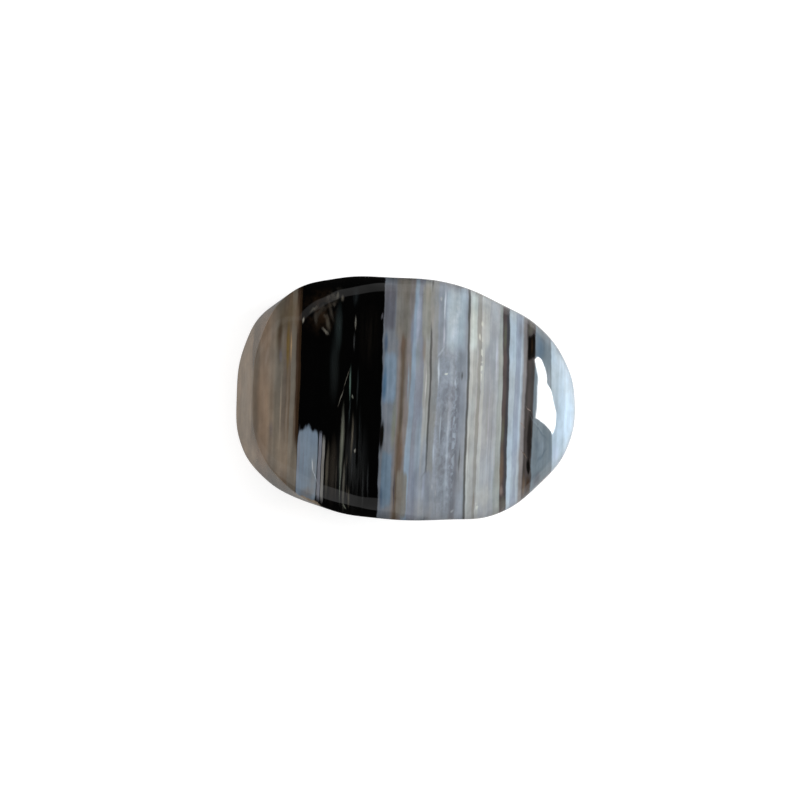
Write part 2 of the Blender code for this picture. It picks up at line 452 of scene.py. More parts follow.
    Mark((5.62, -5.26), (0.28, 0.9), Tone.ROSE_TAUPE, 0.9, 0.8),
    Mark((5.74, -5.95), (0.50, 1.1), Tone.ASH, 0.8, 0.7),
    Mark((6.40, 3.90), (0.50, 1.4), Tone.SHADE, 0.5, 1.0),
    Mark((6.10, -4.80), (0.60, 2.2), Tone.FROST, 0.7, 1.0),
    # Peat band
    Mark((6.95, 3.95), (0.50, 1.1), Tone.ASH, 0.9, 0.8),
    Mark((7.02, 2.93), (0.46, 1.5), Tone.PITCH, 1.0, 0.35, form=Form.CELL),
    Mark((7.04, 2.98), (0.13, 1.3), Tone.BISTRE),
    Mark((7.11, -2.30), (0.42, 4.4), Tone.PITCH, 0.8, 0.7),
    Mark((7.11, -3.84), (0.30, 1.2), Tone.PITCH, 1.0, 0.6),
    Mark((7.12, -5.03), (0.36, 1.8), Tone.SEPIA, 1.0, 0.8),
    Mark((6.87, -5.03), (0.28, 1.8), Tone.UMBER, 1.0, 0.8),
    Mark((6.99, -0.62), (0.06, 0.7), Tone.ROSE_TAUPE, 1.0, 0.8, lean=-45),
    Mark((6.68, -1.50), (0.06, 0.8), Tone.ROSE_TAUPE, 1.0, 0.8, lean=-30),
    Mark((6.83, -3.15), (0.06, 1.0), Tone.UMBER, 1.0, 0.8, lean=-32),
    # Grey-teal band, with soft teal arcs and a dark cloud that are a painted reflection of a dark
    # rounded thing
    Mark((7.51, 2.76), (0.70, 1.9), Tone.STONE_BLUE, 0.8, 0.8),
    Mark((8.09, 0.88), (0.36, 2.0), Tone.SKY_GREY, 1.0, 0.8),
    # painted reflection: teal arcs and a dark cloud of a dark rounded thing mirrored in the dome
    Mark((7.59, -1.62), (0.16, 2.0), Tone.LIGHT_REFLECTION_TEAL, 0.7, 1.0, lean=-38),
    Mark((7.71, -1.85), (0.18, 1.9), Tone.DARK_REFLECTION_TEAL, 0.7, 1.0, lean=-38),
    Mark((7.90, -2.70), (0.20, 1.6), Tone.LIGHT_REFLECTION_TEAL, 0.7, 1.0),
    Mark((7.83, -3.30), (0.22, 1.6), Tone.DARK_REFLECTION_TEAL, 0.7, 1.0, lean=32),
    Mark((7.55, -2.60), (0.50, 2.6), Tone.DARK_REFLECTION_TEAL, 0.5, 1.0, grain=Grain.CLOUD),
    Mark((7.62, -4.63), (0.60, 1.2), Tone.MAUVE_GREY, 0.7),
    # Pale end
    Mark((8.67, 2.07), (0.80, 1.6), Tone.SNOW, 0.7),
    Mark((8.65, -3.27), (0.60, 2.0), Tone.LOW_ICE, 0.8),
)


@dataclass(frozen=True)
class ViewDirection:
    """Direction from the stone to the camera.

    Attributes:
        tilt: Degrees away from straight above.
        turn: Degrees from +X, anticlockwise from above, of the side that it tilts towards.
    """

    tilt: float = 24.0
    turn: float = 189.0

    @property
    def axes(self) -> Matrix:
        """Axes of the picture.

        Returns:
            Rows that point right and up in the picture, and back to the camera.
        """
        tilt, turn = math.radians(self.tilt), math.radians(self.turn)
        sideways = math.sin(tilt)
        back = Vector((sideways * math.cos(turn), sideways * math.sin(turn), math.cos(tilt)))
        up = (Vector((0, 1, 0)) - back * back.y).normalized()
        return Matrix((up.cross(back), up, back))


class NodeSheet:
    """A node tree under work, which each call adds a step to."""

    def __init__(self, tree: bpy.types.NodeTree) -> None:
        """Start from an empty tree.

        Args:
            tree: The node tree of a material or of the world.
        """
        self.tree = tree
        tree.nodes.clear()

    def add(self, kind: str, **settings: object) -> bpy.types.Node:
        """Add a node.

        Args:
            kind: The node's type name.
            **settings: Its properties.

        Returns:
            The new node.
        """
        node = self.tree.nodes.new(kind)
        for name, value in settings.items():
            setattr(node, name, value)
        return node

    def feed(self, socket: Socket, value: object) -> None:
        """Give an input its value, or link it to an output.

        Args:
            socket: The input.
            value: A number, a tuple or another node's output.
        """
        if isinstance(value, Socket):
            self.tree.links.new(value, socket)
        else:
            socket.default_value = value

    def sum(self, operation: str, *values: object) -> Socket:
        """Work out a number from up to three others.

        Args:
            operation: The Math node's operation.
            *values: Numbers or outputs.

        Returns:
            The result.
        """
        node = self.add("ShaderNodeMath", operation=operation)
        for socket, value in zip(node.inputs, values):
            self.feed(socket, value)
        return node.outputs["Value"]

    def ease(
        self, value: object, start: float, end: float, low: float = 0.0, high: float = 1.0
    ) -> Socket:
        """Pass smoothly from one number to another while a value crosses a range.

        Args:
            value: The number or output that crosses the range.
            start: Where the range begins.
            end: Where it ends.
            low: Result at its beginning and before.
            high: Result at its end and after.

        Returns:
            The result.
        """
        node = self.add("ShaderNodeMapRange", interpolation_type="SMOOTHSTEP")
        names = ("Value", "From Min", "From Max", "To Min", "To Max")
        for name, number in zip(names, (value, start, end, low, high)):
            self.feed(node.inputs[name], number)
        return node.outputs["Result"]

    def vector(self, operation: str, *values: object) -> Socket:
        """Work out a vector, or its length, from up to three others.

        Args:
            operation: The Vector Math node's operation.
            *values: Vectors or outputs.

        Returns:
            The result.
        """
        node = self.add("ShaderNodeVectorMath", operation=operation)
        for socket, value in zip(node.inputs, values):
            self.feed(socket, value)
        return node.outputs["Value" if operation == "LENGTH" else "Vector"]

    def split(self, vector: Socket) -> tuple[Socket, ...]:
        """Take a vector apart.

        Args:
            vector: The vector.

        Returns:
            Its three parts.
        """
        node = self.add("ShaderNodeSeparateXYZ")
        self.feed(node.inputs[0], vector)
        return tuple(node.outputs)

    def join(self, *parts: object) -> Socket:
        """Put a vector together.

        Args:
            *parts: Its three parts.

        Returns:
            The vector.
        """
        node = self.add("ShaderNodeCombineXYZ")
        for socket, value in zip(node.inputs, parts):
            self.feed(socket, value)
        return node.outputs[0]

    def noise(self, place: Socket, weave: Weave) -> Socket:
        """Read a noise.

        Args:
            place: Where it is read.
            weave: The noise.

        Returns:
            A number around one half.
        """
        vector = self.vector("MULTIPLY_ADD", place, weave.scale, weave.shift)
        node = self.add("ShaderNodeTexNoise")
        names = ("Vector", "Scale", "Detail", "Roughness")
        for name, value in zip(names, (vector, 1.0, weave.detail, weave.roughness)):
            self.feed(node.inputs[name], value)
        return node.outputs["Fac"]

    def blend(self, share: object, under: object, over: object, mode: str = "MIX") -> Socket:
        """Lay one colour over another.

        Args:
            share: How much of the upper colour shows.
            under: The lower colour.
            over: The upper colour.
            mode: How the two are combined.

        Returns:
            The blended colour.
        """
        node = self.add("ShaderNodeMix", data_type="RGBA", blend_type=mode)
        self.feed(node.inputs["Factor"], share)
        self.feed(node.inputs[6], under)
        self.feed(node.inputs[7], over)
        return node.outputs[2]

    def skyline(self, azimuth: object, points: Skyline, low: float, high: float) -> Socket:
        """Read a number that changes with azimuth.

        Args:
            azimuth: Azimuth, from nought to one for half a turn to each side of +X.
            points: Degrees and the number there, from -180 to 180 degrees.
            low: Smallest number that may be read.
            high: Largest.

        Returns:
            The number at the azimuth.
        """
        node = self.add("ShaderNodeFloatCurve")
        places = [
            ((degrees + 180) / 360, (number - low) / (high - low)) for degrees, number in points
        ]
        line = node.mapping.curves[0]
        line.points[0].location, line.points[1].location = places[0], places[-1]
        for place in places[1:-1]:
            line.points.new(*place)
        for point in line.points:
            point.handle_type = "VECTOR"
        node.mapping.update()
        self.feed(node.inputs["Value"], azimuth)
        return self.sum("MULTIPLY_ADD", node.outputs["Value"], high - low, low)

    def surface(self, kind: str, shader: Socket) -> None:
        """Link a shader to the tree's output.

        Args:
            kind: Whose output it is, Material or World.
            shader: The shader.
        """
        output = self.add(f"ShaderNodeOutput{kind}")
        self.feed(output.inputs["Surface"], shader)


@dataclass(frozen=True)
class BandedPolish:
    """Finish of the stone: straight agate bands, fibrous and clouded, under a hand polish, with
    painted shade at the rim and a painted reflection among the marks.

    Attributes:
        middle: Point of the stone, in metres, that the pattern is measured from.
        view: Direction that the layers are square to.
        common_lean: Millimetres that the bands move right for each millimetre up.
        waver: Millimetres that the bands sway together over their whole length.
        long_wave: Noise that they waver by.
        shiver: Millimetres that they sway together over a millimetre or two.
        short_wave: Noise that they shiver by.
        stray: Noise that the bands' edges stray by.
        stray_shifts: Starts of the noises that the bands take in turn, so that few stray alike.
        raggedness: Millimetres by which fibres lengthen or shorten the ends of the marks.
        fibres: Noise of these fibres.
        depth: Share by which threads and clouds lighten or darken the colour.
        depth_span: Levels of their noise between which they do.
        threads: Noise of the fine threads along the bands.
        clouds: Noise of the clouds.
        tints: Noise by which the stone turns warmer and cooler.
        tint_span: Levels of this noise between which it turns.
        warm_tint: What the colour is multiplied by where the stone is warmer.
        cool_tint: What it is multiplied by where the stone is cooler.
        painted_rim_shade: Share by which painted shade darkens the dome at the girdle.
        painted_shade_reach: Heights in millimetres between which this painted shade fades out.
        painted_shade_start: Height in millimetres over which the painted shade sets in below them.
        polish: Roughness of the polished dome and wall.
        satin: Roughness of the flat base, which is only ground.
        satin_reach: Heights in millimetres between which the polish takes over from it.
        ior: Index of refraction of chalcedony.
    """

    middle: tuple[float, float, float]
    view: ViewDirection
    common_lean: float = 0.038
    waver: float = 0.12
    long_wave: Weave = Weave((0.10, 0.12, 0.08), 1)
    shiver: float = 0.06
    short_wave: Weave = Weave((0.7, 0.6, 0.4), 3, 0.55)
    stray: Weave = Weave((0.0, 0.5, 0.35), 3, 0.55)
    stray_shifts: tuple[float, ...] = (0.0, 3.7, 7.4, 11.1, 14.8)
    raggedness: float = 0.32
    fibres: Weave = Weave((3.6, 0.25, 0.4), 3, 0.6)
    depth: float = 0.12
    depth_span: tuple[float, float] = (0.30, 0.70)
    threads: Weave = Weave((3.4, 0.05, 0.2), 3, 0.6)
    clouds: Weave = Weave((1.6, 0.7, 0.6), 4, 0.6)
    tints: Weave = Weave((1.1, 0.28, 0.3), 2, 0.5)
    tint_span: tuple[float, float] = (0.35, 0.65)
    warm_tint: Colour = (1.04, 1.00, 0.96, 1.0)
    cool_tint: Colour = (0.98, 1.00, 1.02, 1.0)
    # painted shade: the dome's colour is darkened towards the girdle
    painted_rim_shade: float = 0.22
    painted_shade_reach: tuple[float, float] = (4.5, 5.4)
    painted_shade_start: float = 0.08
    polish: float = 0.05
    satin: float = 0.42
    satin_reach: tuple[float, float] = (0.02, 0.30)
    ior: float = 1.54

    def band_frame(self, sheet: NodeSheet) -> Socket:
        """Turn object coordinates into millimetres across, along and down through the bands.

        Args:
            sheet: The node sheet.

        Returns:
            The vector.
        """
        turned = self.view.axes
        place = sheet.add("ShaderNodeTexCoord")
        mapping = sheet.add("ShaderNodeMapping", vector_type="POINT")
        mapping.inputs["Location"].default_value = -(turned @ Vector(self.middle)) / MM
        mapping.inputs["Rotation"].default_value = turned.to_euler()
        mapping.inputs["Scale"].default_value = (1 / MM,) * 3
        sheet.feed(mapping.inputs["Vector"], place.outputs["Object"])
        return mapping.outputs["Vector"]

    def sway(self, sheet: NodeSheet, place: Socket) -> Socket:
        """Make the bands lean, waver and shiver.

        Args:
            sheet: The node sheet.
            place: Place in the straight band frame.

        Returns:
            Place in the swaying band frame.
        """
        across, along, through = sheet.split(place)
        long_wave = sheet.noise(place, self.long_wave)
        short_wave = sheet.noise(place, self.short_wave)
        swayed = sheet.sum("MULTIPLY_ADD", along, -self.common_lean, across)
        for wave, reach in ((long_wave, self.waver), (short_wave, self.shiver)):
            centred = sheet.sum("SUBTRACT", wave, 0.5)
            swayed = sheet.sum("MULTIPLY_ADD", centred, reach * 2, swayed)
        return sheet.join(swayed, along, through)

    def fray(self, sheet: NodeSheet, place: Socket) -> Socket:
        """Lengthen and shorten the marks along the fibres of the stone.

        Args:
            sheet: The node sheet.
            place: Place in the swaying band frame.

        Returns:
            Place in the frame of the marks.
        """
        fibres = sheet.noise(place, self.fibres)
        step = sheet.sum("MULTIPLY_ADD", fibres, self.raggedness * 2, -self.raggedness)
        return sheet.vector("ADD", place, sheet.join(0.0, step, 0.0))

    def strays(self, sheet: NodeSheet, place: Socket) -> list[Socket]:
        """Slow noises along the bands, which their edges stray by.

        Args:
            sheet: The node sheet.
            place: Place in the swaying band frame.

        Returns:
            The noises, which the bands take in turn.
        """
        weaves = [replace(self.stray, shift=(shift, 0.0, 0.0)) for shift in self.stray_shifts]
        return [sheet.noise(place, weave) for weave in weaves]

    def grains(self, sheet: NodeSheet, place: Socket) -> dict[Grain, Socket]:
        """Noises that break up the marks.

        Args:
            sheet: The node sheet.
            place: Place in the swaying band frame.

        Returns:
            One noise from nought to one for each grain but the plain one.
        """
        noises = {}
        for grain in Grain:
            if grain is not Grain.PLAIN:
                weave, low, high = grain.value
                noises[grain] = sheet.ease(sheet.noise(place, weave), low, high)
        return noises

    def reach(self, sheet: NodeSheet, place: Socket, mark: Mark) -> Socket:
        """Measure how far out in a mark each place is.

        Args:
            sheet: The node sheet.
            place: Place in the frame of the marks.
            mark: The mark.

        Returns:
            Nought in the mark's middle and one on its outline.
        """
        lean = math.radians(mark.lean)
        middle = Vector((*mark.place, 0.0))
        scale = Vector((2 / mark.size[0], 2 / mark.size[1], 0.0))
        if mark.lean:
            moved = sheet.vector("SUBTRACT", place, middle)
            sideways = sheet.vector("CROSS_PRODUCT", (0.0, 0.0, math.tan(lean)), moved)
            turned = sheet.vector("ADD", moved, sideways)
            scaled = sheet.vector("MULTIPLY", turned, scale * math.cos(lean))
        else:
            back = [-a * b for a, b in zip(middle, scale)]
            scaled = sheet.vector("MULTIPLY_ADD", place, scale, back)
        if mark.form is Form.CELL:
            for _ in range(2):
                scaled = sheet.vector("MULTIPLY", scaled, scaled)
        return sheet.vector("LENGTH", scaled)

    def lay_bands(self, sheet: NodeSheet, place: Socket) -> Socket:
        """Lay the bands one over another from left to right.

        Args:
            sheet: The node sheet.
            place: Place in the swaying band frame.

        Returns:
            The colour of the bands.
        """
        across, along, _ = sheet.split(place)
        strays = self.strays(sheet, place)
        colour: object = Tone.CLAY.linear
        for number, band in enumerate(BANDS):
            at = sheet.sum("MULTIPLY_ADD", strays[number % len(strays)], band.wander * 2, across)
            if band.lean:
                at = sheet.sum("MULTIPLY_ADD", along, -band.lean, at)
            start = band.start + band.wander
            share = sheet.ease(at, start - band.blend / 2, start + band.blend / 2)
            colour = sheet.blend(share, colour, band.tone.linear)
        return colour

    def lay_marks(self, sheet: NodeSheet, place: Socket, colour: Socket) -> Socket:
        """Lay the streaks, wisps and specks over the bands.

        Args:
            sheet: The node sheet.
            place: Place in the swaying band frame.
            colour: The colour of the bands.

        Returns:
            The colour with the marks on it.
        """
        grains = self.grains(sheet, place)
        frayed = self.fray(sheet, place)
        for mark in MARKS:
            reach = self.reach(sheet, frayed, mark)
            inner = 1.0 - mark.softness
            inner = inner**4 if mark.form is Form.CELL else inner
            share = sheet.ease(reach, inner, 1.0, mark.strength, 0.0)
            if mark.grain in grains:
                share = sheet.sum("MULTIPLY", share, grains[mark.grain])
            colour = sheet.blend(share, colour, mark.tone.linear)
        return colour

    def streak(self, sheet: NodeSheet, place: Socket, colour: Socket) -> Socket:
        """Vary the colour with fine threads along the bands, with clouds and with tints.

        Args:
            sheet: The node sheet.
            place: Place in the swaying band frame.
            colour: The colour so far.

        Returns:
            The varied colour.
        """
        threads = sheet.noise(place, self.threads)
        clouds = sheet.noise(place, self.clouds)
        tints = sheet.noise(place, self.tints)
        fine, slow = [
            sheet.ease(noise, *self.depth_span, 1 - self.depth, 1 + self.depth)
            for noise in (threads, clouds)
        ]
        tint = sheet.blend(sheet.ease(tints, *self.tint_span), self.warm_tint, self.cool_tint)
        tinted = sheet.blend(1.0, colour, tint, "MULTIPLY")
        value = sheet.sum("MULTIPLY", fine, slow)
        shade = sheet.add("ShaderNodeCombineColor")
        for socket in shade.inputs:
            sheet.feed(socket, value)
        return sheet.blend(1.0, tinted, shade.outputs[0], "MULTIPLY")

    def height(self, sheet: NodeSheet) -> Socket:
        """Height above the base in millimetres."""
        place = sheet.add("ShaderNodeTexCoord")
        return sheet.sum("MULTIPLY", sheet.split(place.outputs["Object"])[2], 1 / MM)

    def paint_rim_shade(self, sheet: NodeSheet, height: Socket, colour: Socket) -> Socket:
        """Paint shade on the dome, darkest at the girdle and fading out above it.

        Args:
            sheet: The node sheet.
            height: Height above the base in millimetres.
            colour: The colour so far.

        Returns:
            The darkened colour.
        """
        foot = self.painted_shade_reach[0]
        above = sheet.ease(height, foot - self.painted_shade_start, foot)
        fading = sheet.ease(height, *self.painted_shade_reach, self.painted_rim_shade, 0.0)
        # painted shade: the colour is mixed towards near-black low on the dome
        return sheet.blend(sheet.sum("MULTIPLY", above, fading), colour, Tone.PITCH.linear)

    def material(self) -> bpy.types.Material:
        """Make the finish.

        Returns:
            The material.
        """
        material = bpy.data.materials.new("polished agate")
        material.use_nodes = True
        sheet = NodeSheet(material.node_tree)
        place = self.sway(sheet, self.band_frame(sheet))
        colour = self.lay_marks(sheet, place, self.lay_bands(sheet, place))
        colour = self.streak(sheet, place, colour)
        height = self.height(sheet)
        roughness = sheet.ease(height, *self.satin_reach, self.satin, self.polish)
        shader = sheet.add("ShaderNodeBsdfPrincipled")
        # the base colour carries the painted rim shade
        sheet.feed(shader.inputs["Base Color"], self.paint_rim_shade(sheet, height, colour))
        sheet.feed(shader.inputs["Roughness"], roughness)
        sheet.feed(shader.inputs["IOR"], self.ior)
        sheet.surface("Material", shader.outputs["BSDF"])
        return material


class Part(Enum):
    """Parts of a mesh that can be picked out in edit mode."""

    EDGE = (False, True, False)
    FACE = (False, False, True)


@dataclass(frozen=True)
class Bench:
    """Edit-mode steps on one mesh, as they are made by hand.

    Attributes:
        piece: The object whose mesh is worked on.
    """

    piece: bpy.types.Object

    def pick(self, part: Part, wanted: Callable[[object], bool]) -> None:
        """Select the edges or faces that pass a test, and nothing else.

        Args:
            part: Edges or faces.
            wanted: The test.
        """
        bpy.context.tool_settings.mesh_select_mode = part.value
        bpy.ops.mesh.select_all(action="DESELECT")
        mesh = bmesh.from_edit_mesh(self.piece.data)
        for element in mesh.faces if part is Part.FACE else mesh.edges:
            if wanted(element):
                element.select_set(True)
        bmesh.update_edit_mesh(self.piece.data)

    def move_vertices(self, targets: list[Vector]) -> None:
        """Move every vertex to its own target.

        Args:
            targets: Target of each vertex, in the order of the mesh.
        """
        bpy.context.tool_settings.mesh_select_mode = (True, False, False)
        for index, target in enumerate(targets):
            bpy.ops.mesh.select_all(action="DESELECT")
            mesh = bmesh.from_edit_mesh(self.piece.data)
            mesh.verts.ensure_lookup_table()
            mesh.verts[index].select_set(True)
            step = target - mesh.verts[index].co
            bmesh.update_edit_mesh(self.piece.data)
            bpy.ops.transform.translate(value=step)


@dataclass(frozen=True)
class Dome:
    """Curve of the dome, from the girdle to the crown.

    Attributes:
        rise: Height of the crown above the girdle.
        fullness: 2 for an ellipse, more for a flatter top.
        reach: Share of the full curve that is used, so that the dome meets the girdle in an edge.
        rings: Number of rings that it is made of.
    """

    rise: float = 3.0 * MM
    fullness: float = 2.2
    reach: float = 0.985
    rings: int = 20

    def height(self, share: float) -> float:
        """Work out how high a ring lies.

        Args:
            share: The ring's size as a share of the girdle's.

        Returns:
            Its height above the girdle.
        """
        reaches = (self.reach * share, self.reach)
        here, edge = [(1 - reach**self.fullness) ** (1 / self.fullness) for reach in reaches]
        return self.rise * (here - edge) / (1 - edge)

    def shares(self) -> list[float]:
        """Spread the rings over the dome, closer together on the shoulder.

        Returns:
            Size of each ring from the girdle up, as shares of the girdle's.
        """
        widest = math.asin(self.reach ** (self.fullness / 2))
        angles = [widest * (1 - step / self.rings) for step in range(self.rings)]
        return [math.sin(angle) ** (2 / self.fullness) / self.reach for angle in angles]


@dataclass
class AgateStone:
    """The cut stone: flat base, leaning wall, narrow girdle and dome, all in one skin.

    Attributes:
        finish: The stone's finish.
        outline: Girdle from above, as shares of half the length and half the width, anticlockwise
            from the middle of the far side.
        girdle_height: Height of the girdle's upper edge.
        girdle_band: Height of the narrow upright girdle.
        wall_lean: How far the foot of the wall is set in from the girdle.
        base_chamfer: Size of the chamfer round the base.
        base_rings: Share that each ring of the base is smaller by than the one round it.
        smooth_steps: Points of the girdle for each point of the outline.
        edge_round: Width of the round on the girdle's edges, and half of that on the chamfer's.
        round_steps: Faces across each round.
        crease: Angle over which an edge stays sharp.
        dome: Curve of the dome.
    """

    finish: BandedPolish
    outline: tuple[tuple[float, float], ...] = (
        (-0.140, 0.998),
        (-0.480, 0.975),
        (-0.780, 0.825),
        (-0.945, 0.465),
        (-0.995, 0.020),
        (-0.965, -0.410),
        (-0.825, -0.700),
        (-0.560, -0.920),
        (-0.230, -1.000),
        (0.200, -1.000),
        (0.510, -0.945),
        (0.775, -0.690),
        (0.954, -0.376),
        (1.000, 0.040),
        (0.943, 0.336),
        (0.782, 0.620),
        (0.539, 0.806),
        (0.231, 0.964),
    )
    girdle_height: float = 4.5 * MM
    girdle_band: float = 0.12 * MM
    wall_lean: float = 0.74 * MM
    base_chamfer: float = 0.35 * MM
    base_rings: tuple[float, ...] = (0.9, 0.7, 0.5)
    smooth_steps: int = 8
    edge_round: float = 0.05 * MM
    round_steps: int = 3
    crease: float = math.radians(30)
    dome: Dome = Dome()

    def lay_out_girdle(self, low: Vector, high: Vector) -> bpy.types.Object:
        """Draw the girdle as one closed smooth line, fitted to the solid's length and width.

        Args:
            low: Lowest corner of the solid.
            high: Highest corner of the solid.

        Returns:
            The line, as a mesh object with no faces.
        """
        half = (high - low) / 2
        bpy.ops.object.select_all(action="DESELECT")
        corners = len(self.outline)
        bpy.ops.mesh.primitive_circle_add(vertices=corners, radius=half.x, location=(0, 0, 0))
        line = bpy.context.object
        bpy.ops.object.mode_set(mode="EDIT")
        Bench(line).move_vertices([Vector((x * half.x, y * half.y, 0)) for x, y in self.outline])
        bpy.ops.object.mode_set(mode="OBJECT")
        bpy.ops.object.convert(target="CURVE")
        bpy.ops.object.mode_set(mode="EDIT")
        bpy.ops.curve.select_all(action="SELECT")
        bpy.ops.curve.spline_type_set(type="BEZIER")
        bpy.ops.curve.handle_type_set(type="AUTOMATIC")
        bpy.ops.object.mode_set(mode="OBJECT")
        bpy.context.object.data.splines[0].resolution_u = self.smooth_steps
        bpy.ops.object.convert(target="MESH")
        line = bpy.context.object
        points = [v.co for v in line.data.vertices]
        left, right = min(p.x for p in points), max(p.x for p in points)
        near, far = min(p.y for p in points), max(p.y for p in points)
        bpy.ops.object.mode_set(mode="EDIT")
        bpy.ops.mesh.select_all(action="SELECT")
        level = self.girdle_height - self.girdle_band
        bpy.ops.transform.translate(value=(-(left + right) / 2, -(near + far) / 2, level))
        fit = (half.x * 2 / (right - left), half.y * 2 / (far - near), 1)
        bpy.ops.transform.resize(value=fit, center_override=(0, 0, 0))
        return line

    def raise_dome(self) -> None:
        """Pull the girdle and the dome up from the flat outline, ring by ring."""
        bpy.ops.mesh.edge_face_add()
        if any(face.normal.z < 0 for face in bmesh.from_edit_mesh(bpy.context.object.data).faces):
            bpy.ops.mesh.flip_normals()
        bpy.ops.mesh.extrude_region_move(TRANSFORM_OT_translate={"value": (0, 0, self.girdle_band)})
        shares = self.dome.shares()
        for before, share in zip(shares, shares[1:]):
            rise = self.dome.height(share) - self.dome.height(before)
            bpy.ops.mesh.extrude_region_move(TRANSFORM_OT_translate={"value": (0, 0, rise)})
            bpy.ops.transform.resize(value=(share / before,) * 2 + (1,), center_override=(0, 0, 0))
        bpy.ops.mesh.poke(offset=self.dome.height(0) - self.dome.height(shares[-1]))

    def sink_wall(self, bench: Bench) -> None:
        """Push the wall, the chamfer and the base down from the flat outline.

        Args:
            bench: The stone in edit mode.
        """
        foot = self.girdle_height - self.girdle_band
        bench.pick(Part.FACE, lambda face: face.normal.z < -FLAT)
        wall = foot - self.base_chamfer
        bpy.ops.mesh.inset(thickness=self.wall_lean * wall / foot, depth=wall)
        set_in = self.wall_lean * self.base_chamfer / foot + self.base_chamfer
        bpy.ops.mesh.inset(thickness=set_in, depth=self.base_chamfer)
        for shrink in self.base_rings:
            bpy.ops.mesh.extrude_region_move(TRANSFORM_OT_translate={"value": (0, 0, 0)})
            bpy.ops.transform.resize(value=(shrink, shrink, 1), center_override=(0, 0, 0))
        bpy.ops.mesh.poke()

    def round_edges(self, bench: Bench) -> None:
        """Round the girdle's two edges and the edges of the chamfer by a hair.

        Args:
            bench: The stone in edit mode.
        """
        levels = (self.girdle_height, self.girdle_height - self.girdle_band, self.base_chamfer, 0.0)
        widths = (self.edge_round, self.edge_round, 2 * self.edge_round, 2 * self.edge_round)
        for level, width in zip(levels, widths):
            bench.pick(Part.EDGE, lambda edge: self.on_rim(edge, level))
            bpy.ops.mesh.bevel(offset=width, segments=self.round_steps, profile=0.5)

    @staticmethod
    def on_rim(edge: bmesh.types.BMEdge, level: float) -> bool:
        """Whether an edge lies along the outermost ring at a height."""
        level_edge = all(abs(v.co.z - level) < SAME_HEIGHT for v in edge.verts)
        return level_edge and any(abs(face.normal.z) < FLAT for face in edge.link_faces)

    def build(self) -> bpy.types.Object:
        """Model the stone and dress it.

        Returns:
            The finished piece.
        """
        stone = self.lay_out_girdle(*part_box("agate"))
        stone.name = "agate_stone"
        bench = Bench(stone)
        self.raise_dome()
        self.sink_wall(bench)
        self.round_edges(bench)
        bpy.ops.mesh.select_all(action="SELECT")
        bpy.ops.mesh.normals_make_consistent(inside=False)
        bpy.ops.object.mode_set(mode="OBJECT")
        smoothing = stone.modifiers.new("smoothing", "SUBSURF")
        smoothing.levels = smoothing.render_levels = 1
        bpy.ops.object.modifier_apply(modifier=smoothing.name)
        bpy.ops.object.shade_smooth_by_angle(angle=self.crease)
        stone.data.materials.append(self.finish.material())
        return stone


@dataclass(frozen=True)
class PaleFloor:
    """The pale surface that the stone lies on.

    Attributes:
        size: Length of its sides.
        colour: Its colour.
        roughness: Its roughness, which is matt.
        gloss: Its weak sheen.
        glow: Light of its own that the camera sees, which keeps its shadows light.
        shine: Light of its own that it throws on the stone.
    """

    size: float = 3.0
    colour: Colour = (0.45, 0.45, 0.45, 1.0)
    roughness: float = 0.9
    gloss: float = 0.1
    glow: float = 0.72
    shine: float = 0.40

    def material(self) -> bpy.types.Material:
        """Make the floor's finish.

        Returns:
            The material.
        """
        material = bpy.data.materials.new("pale floor")
        material.use_nodes = True
        sheet = NodeSheet(material.node_tree)
        shader = sheet.add("ShaderNodeBsdfPrincipled")
        sheet.feed(shader.inputs["Base Color"], self.colour)
        sheet.feed(shader.inputs["Roughness"], self.roughness)
        sheet.feed(shader.inputs["Specular IOR Level"], self.gloss)
        sheet.feed(shader.inputs["Emission Color"], (1.0, 1.0, 1.0, 1.0))
        seen = sheet.add("ShaderNodeLightPath").outputs["Is Camera Ray"]
        light = sheet.sum("MULTIPLY_ADD", seen, self.glow - self.shine, self.shine)
        sheet.feed(shader.inputs["Emission Strength"], light)
        sheet.surface("Material", shader.outputs["BSDF"])
        return material

    def build(self) -> bpy.types.Object:
        """Lay the floor.

        Returns:
            The floor.
        """
        bpy.ops.object.select_all(action="DESELECT")
        bpy.ops.mesh.primitive_plane_add(size=self.size, location=(0, 0, 0))
        floor = bpy.context.object
        floor.name = "pale_floor"
        floor.data.materials.append(self.material())
        floor.visible_glossy = False
        return floor


